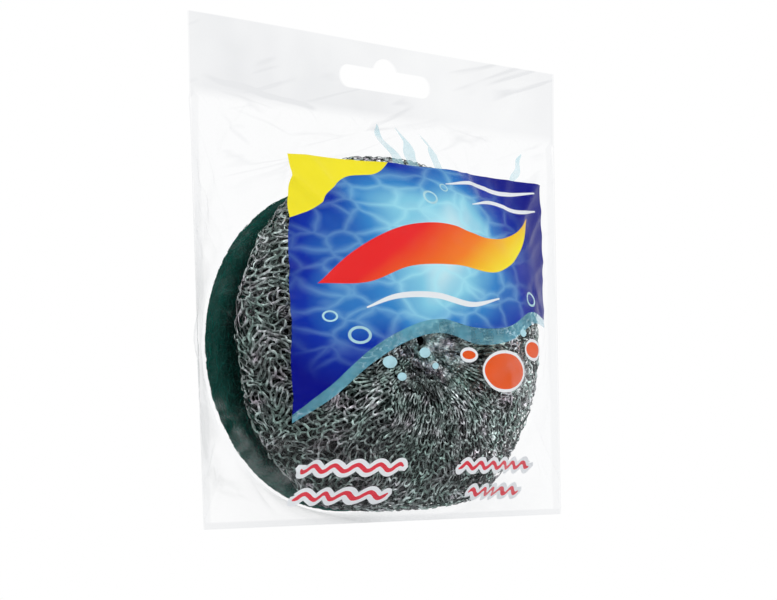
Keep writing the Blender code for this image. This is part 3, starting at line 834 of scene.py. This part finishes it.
def pad_surface(spot):
    """Moves points onto the pad's skin, by distance along its section and turn."""
    section = pad_section()
    along = distance_along(section)
    ring = np.interp(spot[..., 0], along, section[:, 0])
    depth = np.interp(spot[..., 0], along, section[:, 1])
    x, height = ring * np.cos(spot[..., 1]), ring * np.sin(spot[..., 1])
    depth = depth - np.where(depth > PAD_MIDDLE_Y, tuck(x, height), 0)
    return np.stack([x, depth, CENTRE_Z + height], axis=-1), ring, along[-1]


def pad_fibres(material, count=5000, steps=7, length=0.0080, thick=0.00009):
    """Loose curled fibres that lie over the pad's skin."""
    rng = np.random.default_rng(52)
    _, _, total = pad_surface(np.zeros((1, 2)))
    on_edge = rng.uniform(0.34, 1, count) < 0.56
    round_edge = rng.uniform(0.38, 0.60, count) * total
    over_back = total - (PAD_RADIUS - PAD_EDGE) * np.sqrt(rng.uniform(0.001, 1, count))
    along = np.where(on_edge, round_edge, over_back)
    turn = rng.uniform(0, TURN, count)
    heading = rng.uniform(0, TURN, count)
    curl = rng.normal(0, 260, count)
    size = length * rng.uniform(0.4, 1.0, count) / steps
    line = []
    for _ in range(steps):
        line.append(np.stack([along, turn], axis=-1))
        _, ring, _ = pad_surface(line[-1])
        along = np.clip(along + size * np.cos(heading), 0.0005, total - 0.0005)
        turn = turn + size * np.sin(heading) / np.maximum(ring, 0.002)
        heading = heading + curl * size
    line = np.stack(line, axis=1)
    centre, _, _ = pad_surface(line)
    onward = pad_surface(line + np.array([0.0004, 0]))[0] - centre
    beside = pad_surface(line + np.array([0, 0.004]))[0] - centre
    normal = unit(np.cross(beside, onward))
    from_middle = centre - np.array([0, PAD_MIDDLE_Y, CENTRE_Z])
    outward = np.sign(np.sum(normal * from_middle, axis=-1, keepdims=True))
    normal = normal * np.where(outward == 0, 1, outward)
    arch = np.sin(np.linspace(0, math.pi, steps))[None, :, None]
    height = rng.uniform(-0.00012, 0.00014, (count, 1, 1))
    centre = centre + normal * (height * arch - 0.00006)
    across = unit(np.cross(unit(np.gradient(centre, axis=1)), normal))
    corners = []
    for side in range(3):
        angle = TURN * side / 3 + math.pi / 2
        corners.append(centre + thick * (across * math.cos(angle) + normal * math.sin(angle)))
    points = np.stack(corners, axis=2).reshape(-1, 3)
    index = np.arange(len(points)).reshape(count, steps, 3)
    obj = mesh_object("pad_fibres", points, ring_quads(index), material)
    close_ends(obj)
    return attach(obj, "pouch")


# The printed design: water, waves, bubbles, spray and plain fields of colour


def curve(*spots, steps=10):
    """A smooth line through points."""
    spots = [np.array(spot, float) for spot in spots]
    ends = [2 * spots[0] - spots[1], *spots, 2 * spots[-1] - spots[-2]]
    line = []
    for a, b, c, d in zip(ends, ends[1:], ends[2:], ends[3:]):
        for step in range(steps):
            t = step / steps
            bend = (2 * a - 5 * b + 4 * c - d) * t**2 + (3 * b - a - 3 * c + d) * t**3
            line.append(tuple(0.5 * (2 * b + (c - a) * t + bend)))
    line.append(tuple(spots[-1]))
    return line


def ribbon_outline(*spots):
    """A band along a smooth line: each spot is x, z and half its width there."""
    line = np.array(curve(*spots, steps=12))
    onward = np.gradient(line[:, :2], axis=0)
    onward /= np.hypot(*onward.T)[:, None]
    across = np.c_[-onward[:, 1], onward[:, 0]] * line[:, 2:]
    return [*map(tuple, line[:, :2] + across), *map(tuple, (line[:, :2] - across)[::-1])]


def disc(x, z, wide, high):
    turns = round_turn(max(int(wide * 9), 20))
    return [(x + wide * math.cos(turn), z + high * math.sin(turn)) for turn in turns]


def even(outline, step=0.9):
    """The same closed outline with points at even short steps, in metres."""
    line = np.array([*outline, outline[0]]) / 1000
    along = distance_along(line)
    corners = []
    for first, last, a, b in zip(along, along[1:], line, line[1:]):
        parts = max(round((last - first) * 1000 / step), 1)
        if last - first > 1e-7:
            corners += [tuple(a + (b - a) * part / parts) for part in range(parts)]
    return corners


def printed(film, name, fields, lift, materials, spacing=0.0009):
    """Fields of ink on the inside of the film. A later field covers an earlier one."""
    fields = [(even(outline), ink, within and even(within)) for outline, ink, within in fields]
    lines = [outline for outline, _, _ in fields]
    every = np.concatenate([np.array(line) for line in lines])
    (x0, z0), (x1, z1) = every.min(0) - 0.001, every.max(0) + 0.001
    points, faces = filled([(x0, z0), (x1, z0), (x1, z1), (x0, z1)], spacing, lines)
    middle = points[faces].mean(1)
    inks = np.full(len(faces), -1)
    for outline, ink, within in fields:
        covered = inside(outline, *middle.T)
        if within:
            covered &= inside(within, *middle.T)
        inks[covered] = ink
    faces, inks = faces[inks >= 0], inks[inks >= 0]
    depth = film.depth(points[:, 0], points[:, 1]) - lift
    points = np.c_[points[:, 0], film.side * depth, points[:, 1]]
    obj = mesh_object(name, points, faces, *materials)
    obj.data.polygons.foreach_set("material_index", inks.astype(np.int32))
    weld(obj)
    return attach(obj, "pouch")


def plain(colour, change=0.12):
    """An even ink with faint clouds in it."""
    lower = tuple(part * (1 - change) for part in colour)
    return lambda s: s.mix(s.spread(s.noise(60.0, 2.0), 0.3, 0.7), colour, lower)


# The glow in the printed water: where its middle is, in x and z, and how far it reaches
GLOW_AT = (-0.003, -0.048)
GLOW_REACH = (0.034, 0.029)


def panel_colour(s):
    """Deep blue water with a pale glow and the bright net that light draws through waves."""
    away = s.oval(GLOW_AT, GLOW_REACH)
    level = s.math("ADD", away, s.spread(s.noise(30.0, 2.0, 0.5, 0.4), 0.1, 0.9, -0.5, 0.5))
    stops = [
        (0.10, (0.70, 0.91, 0.94)),
        (0.27, (0.24, 0.62, 0.80)),
        (0.44, (0.040, 0.24, 0.60)),
        (0.62, (0.003, 0.030, 0.38)),
        (0.85, (0.001, 0.004, 0.23)),
    ]
    water = s.ramp(s.spread(level, 0.0, 1.5), stops)
    spot = s.node("Mapping", {"Vector": s.place, "Scale": (1.0, 1.0, 1.9)})
    shift = s.node("TexNoise", {"Vector": spot, "Scale": 60.0, "Detail": 2.0}, "Color")
    bent = s.node("VectorMath", {0: shift, "Scale": 0.012}, operation="SCALE")
    bent = s.node("VectorMath", {0: spot, 1: bent}, operation="ADD")
    net = s.node("TexVoronoi", {"Vector": bent, "Scale": 95.0}, feature="DISTANCE_TO_EDGE")
    bright = s.product(s.spread(net, 0.0, 0.20, 1.0, 0.0), s.spread(level, 0.15, 1.30, 0.85, 0.0))
    return s.mix(s.math("POWER", bright, 1.5), water, (0.44, 0.85, 0.95))


def flame_colour(s):
    """Red that turns through orange to yellow, mostly from left to right."""
    x, _, z = s.axes()
    level = s.math("MULTIPLY_ADD", z, -1.6, x)
    level = s.math("MULTIPLY_ADD", s.noise(40.0), 0.010, level)
    stops = [(0.25, (0.86, 0.025, 0.025)), (0.55, (0.95, 0.22, 0.02)), (0.82, (1.0, 0.80, 0.03))]
    return s.ramp(s.spread(level, 0.045, 0.120), stops)


# The inks: name, colour and how much of the film each covers
INKS = (
    ("blue", panel_colour, 1.0),
    ("mist", plain((0.16, 0.50, 0.66)), 0.55),
    ("pale", plain((0.50, 0.80, 0.88)), 0.90),
    ("white", plain((0.88, 0.90, 0.92), 0.05), 1.0),
    ("yellow", plain((1.0, 0.86, 0.03), 0.06), 1.0),
    ("red", plain((0.82, 0.045, 0.07)), 1.0),
    ("orange", plain((0.90, 0.11, 0.014)), 1.0),
    ("flame", flame_colour, 1.0),
    ("spray", plain((0.50, 0.80, 0.88)), 0.50),
)
BLUE, MIST, PALE, WHITE, YELLOW, RED, ORANGE, FLAME, SPRAY = range(len(INKS))

# How much wider than tall a printed bubble is
BUBBLE_WIDE = 1.35


def add_print(film):
    """Everything that is printed on the bag's front, placed in millimetres."""
    left = curve(
        (-43.2, -88), (-43.8, -79), (-44.5, -68), (-43.9, -56), (-43.1, -44), (-42.6, -34), (-40.9, -24.2)
    )
    right = curve((50, -24.2), (49, -33), (47.5, -45), (45.5, -54), (43, -62.3))
    shore = curve(
        (-43.2, -88), (-36, -81.5), (-27, -73), (-16, -67), (-5, -64.5),
        (7, -66.2), (20, -65.5), (32, -61), (43, -62.3),
    )
    foam = curve(
        (-43.2, -90), (-35.5, -84.5), (-26, -76), (-15, -70), (-4, -68),
        (8, -70.5), (21, -69), (33, -64), (43, -64.5),
    )
    panel = [*left[::-1], *shore[1:-1], *right[::-1]]
    spray = [
        ((-12, -33, 0.2), (-9.5, -27.5, 1.5), (-7, -22, 2.1), (-8, -17, 1.3), (-5.5, -12.2, 0.15)),
        ((-5, -34, 0.2), (-2.5, -28, 1.4), (-1.5, -22, 1.7), (1.0, -17.5, 1.2), (0.5, -12.6, 0.15)),
        ((4, -30, 0.2), (6.0, -25.5, 1.1), (6.5, -21, 1.1), (8.5, -17, 0.7), (8.5, -13.6, 0.1)),
        ((35, -26, 0.2), (38, -23.5, 0.9), (41.5, -21, 1.0), (43, -18, 0.7), (46, -15.5, 0.1)),
    ]
    fields = [(ribbon_outline(*wisp), SPRAY, None) for wisp in spray]
    fields += [([*shore, *foam[::-1]], MIST, None), (panel, BLUE, None)]
    top = curve((-10, -23), (-16, -27.5), (-25, -29), (-32, -33.5), (-37, -38), (-46, -41.5))
    fields.append(([(-46, -22), (-10, -22), *top], YELLOW, panel))
    flame_top = curve((-38, -56.5), (-28, -48), (-14, -41.5), (1, -39.8), (15, -42.5), (27, -41), (38, -35))
    flame_low = curve((38, -35), (30, -45.5), (17, -51.5), (2, -50.5), (-13, -51.5), (-26, -56), (-38, -56.5))
    fields.append(([*flame_top, *flame_low], FLAME, panel))
    waves = [
        ((-27, -62.3, 0.2), (-18, -59.2, 0.65), (-6, -58.6, 0.75), (6, -60.4, 0.65), (17, -58.4, 0.2)),
        ((6, -28.6, 0.1), (18, -27.2, 0.6), (30, -28.8, 0.65), (45, -27.2, 0.2)),
        ((14, -33.4, 0.1), (24, -32.0, 0.55), (34, -33.6, 0.6), (45, -32.2, 0.2)),
    ]
    fields += [(ribbon_outline(*wave), WHITE, None) for wave in waves]
    for x, z, wide, high in ((18.5, -77, 9.0, 5.4), (32, -71, 4.6, 2.9), (4.5, -73.2, 3.2, 1.9)):
        fields += [(disc(x, z, wide, high), WHITE, None), (disc(x, z, wide - 0.8, high - 0.8), ORANGE, None)]
    rings = ((-29, -69, 2.2), (-36, -64.5, 1.4), (33, -57.5, 2.0), (-2, -33, 1.8), (4.5, -29.8, 1.1))
    for x, z, radius in rings:
        fields.append((disc(x, z, BUBBLE_WIDE * radius, radius), PALE, panel))
        fields.append((disc(x, z, radius, 0.7 * radius), BLUE, panel))
    dots = ((-21, -75.5, 1.5), (-17.5, -79, 1.0), (-10.5, -73, 1.3), (-7, -76.2, 0.8), (27, -66.8, 1.0))
    fields += [(disc(x, z, BUBBLE_WIDE * radius, radius), PALE, None) for x, z, radius in dots]
    for start, stop, z in ((-41.8, -13, -100.9), (3, 38.5, -100.9), (-40.5, -15, -107.6), (10, 39, -107.6)):
        for inset, thick, ink in ((0.0, 1.5, WHITE), (0.9, 0.5, RED)):
            spots = np.linspace(start + inset, stop - inset, 26)
            full = [0.4 * thick, *[thick] * (len(spots) - 2), 0.4 * thick]
            rise = 0.75 * np.sin(1.15 * spots)
            fields.append((ribbon_outline(*zip(spots, z + rise, full)), ink, None))
    inks = [ink_material(f"ink_{name}", colour_of, cover) for name, colour_of, cover in INKS]
    return [printed(film, "print_front", fields, 0.00012, inks)]


# Camera, light and backdrop

FOCAL = 1931.0
FRAME_WIDTH = 777
CAMERA_TURN = math.radians(42.13)
CAMERA_RISE = math.radians(-4.05)
CAMERA_ROLL = math.radians(-1.45)
CAMERA_REACH = 0.5
AIM_SIDE = -3.97
AIM_UP = 43.36


def add_camera():
    """The photograph's view: from the bag's front left, level with its bottom."""
    level = math.cos(CAMERA_RISE)
    back = Vector((-math.sin(CAMERA_TURN) * level, -math.cos(CAMERA_TURN) * level, math.sin(CAMERA_RISE)))
    right = Vector((math.cos(CAMERA_TURN), -math.sin(CAMERA_TURN), 0))
    up = back.cross(right)
    tilted_right = right * math.cos(CAMERA_ROLL) + up * math.sin(CAMERA_ROLL)
    tilted_up = up * math.cos(CAMERA_ROLL) - right * math.sin(CAMERA_ROLL)
    look = (-back + tilted_right * (AIM_SIDE / FOCAL) + tilted_up * (AIM_UP / FOCAL)).normalized()
    side = look.cross(tilted_up).normalized()
    over = side.cross(look)
    camera = bpy.data.objects.new("camera", bpy.data.cameras.new("camera"))
    collection_link(camera)
    place = Vector((0, 0, CENTRE_Z)) + back * CAMERA_REACH
    turned = Matrix((side, over, -look)).transposed().to_4x4()
    camera.matrix_world = Matrix.Translation(place) @ turned
    camera.data.sensor_width = 36
    camera.data.lens = FOCAL / FRAME_WIDTH * camera.data.sensor_width
    camera.data.clip_start = 0.01
    bpy.context.scene.camera = camera


# The lamps, which all face the scrubber: name, place, width and height, and power
LAMPS = (
    ("key", (-0.80, -0.95, 0.75), (1.2, 1.2), 7.0),
    ("fill", (1.10, -0.55, 0.20), (0.8, 1.2), 3.0),
    ("back", (-0.50, 0.95, 0.50), (0.9, 0.9), 3.0),
    ("spark", (-0.20, -1.00, 0.70), (0.22, 0.22), 1.6),
)


def add_lamp(name, place, size, power):
    light = bpy.data.lights.new(name, "AREA")
    light.shape = "RECTANGLE"
    light.size, light.size_y = size
    light.energy = power
    lamp = collection_link(bpy.data.objects.new(name, light))
    lamp.location = place
    lamp.rotation_euler = (Vector((0, 0, CENTRE_Z)) - Vector(place)).to_track_quat("-Z", "Y").to_euler()


def white_to_sight(s):
    """1 for what is seen, straight or through a mirror or clear film, and 0 for light on its way."""
    path = s.node("LightPath").node.outputs
    seen = path["Is Camera Ray"]
    for name in ("Is Glossy Ray", "Is Transmission Ray"):
        seen = s.math("MAXIMUM", seen, path[name])
    return seen


def add_world():
    world = bpy.data.worlds.new("studio")
    bpy.context.scene.world = world
    s = Shader(world, "World")
    lit = s.node("Background", {"Color": (0.96, 0.98, 1.0, 1), "Strength": 0.5})
    white = s.node("Background", {"Color": (1, 1, 1, 1), "Strength": 1.0})
    s.finish(s.node("MixShader", {0: white_to_sight(s), 1: lit, 2: white}))


def add_floor():
    """A plain pale floor well below the hanging bag."""
    s = Shader("pale_floor")
    tone = s.ramp(s.noise(3.0, 2.0), [(0.3, (0.92, 0.92, 0.92)), (0.7, (0.94, 0.94, 0.94))])
    away = s.oval((0, 0), across=(0, 1))
    fade = s.math("MULTIPLY", s.spread(away, 0.16, 0.75), white_to_sight(s))
    white = s.node("Emission", {"Color": (1, 1, 1, 1), "Strength": 1.0})
    pale = s.finish(s.node("MixShader", {0: fade, 1: s.principled(tone, 0.8), 2: white}))
    radius, level, corners = 0.9, -0.24, 96
    turns = round_turn(corners)
    points = np.stack([radius * np.cos(turns), radius * np.sin(turns), np.full(corners, level)], axis=-1)
    floor = mesh_object("floor", points, [range(corners)], pale)


# The scrubber in its bag

WIDE_WIRE = (0.00030, 0.00010)
FINE_WIRE = (0.00027, 0.00009)

# The knit's layers from the outside in: the CAD node that each stands for, its surface and its stitches
LAYERS = (
    ("outer_mesh_layer", (0.0006, 0.0012, MOUTH_RADIUS, 61), (84, 0.0029, 1, 0.0, WIDE_WIRE, 14)),
    ("middle_mesh_layer", (0.0022, 0.0060, MOUTH_RADIUS, 63), (78, 0.0027, 2, 0.004, FINE_WIRE, 12)),
    ("core_mesh_roll", (0.0040, 0.0070, 0.0110, 65), (72, 0.0026, 3, -0.004, FINE_WIRE, 12)),
)


def add_bag():
    """Both walls of the bag, flat over the header and standing out round the scrubber below it, and the print
    on the front one.
    """
    clear = film_material()
    front, rear = Film(-1, 100), Film(1, 200)
    front_sheet = film_sheet("bag_front", front, clear)
    rear_sheet = film_sheet("bag_rear", rear, clear)
    prints = add_print(front)
    for sheet, nodes in ((front_sheet, ("front_film", "header_film")), (rear_sheet, ("rear_film",))):
        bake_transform(sheet)
        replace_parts(sheet, *nodes)


def add_bun():
    """The layers of the knit, each in a front and a rear piece that meet at its rim, over a near-black sheet
    of painted shade.
    """
    bright = steel_material("steel_outer", ((0.36, 0.09), (0.50, 0.22), (0.66, 0.54)), 520.0)
    # painted shade: the two inner knit layers take a darker copy of the steel
    middle = steel_material("steel_middle", ((0.40, 0.05), (0.52, 0.15), (0.68, 0.40)), 520.0)
    # painted shade: a near-black steel for the sheet under the knit
    deep = steel_material("steel_deep", ((0.35, 0.003), (0.65, 0.012)), 300.0)
    for (node, form, stitches), material in zip(LAYERS, (bright, middle, middle)):
        layer, bun = node.split("_")[0], Bun(*form)
        split = bun.rim / bun.length
        for side, share in (("front", (0, split)), ("rear", (split, 1))):
            piece = knit(f"{layer}_knit_{side}", bun, share, material, *stitches)
            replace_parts(piece, node)
    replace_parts(core_shade_sheet(deep), "core_mesh_roll")


def add_pad():
    """The pad with its loose fibres, and the wire of the two ties."""
    # painted shade and light: the body takes a darker copy of the green, the loose fibres a lighter one
    body = pad_body(pad_material("pad_green", 0.75))
    pad_fibres(pad_material("pad_fibre_green", 2.0))
    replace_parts(body, "scouring_pad")
    wire = steel_material("tie_wire_steel", ((0.3, 0.30), (0.7, 0.62)), 900.0)
    for name in ("neck_binding", "pad_tie_wire"):
        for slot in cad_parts[name].material_slots:
            slot.material = wire


def build():
    bpy.context.scene.view_settings.view_transform = "Standard"
    add_camera()
    add_world()
    add_floor()
    for lamp in LAMPS:
        add_lamp(*lamp)
    add_bag()
    add_bun()
    add_pad()


build()
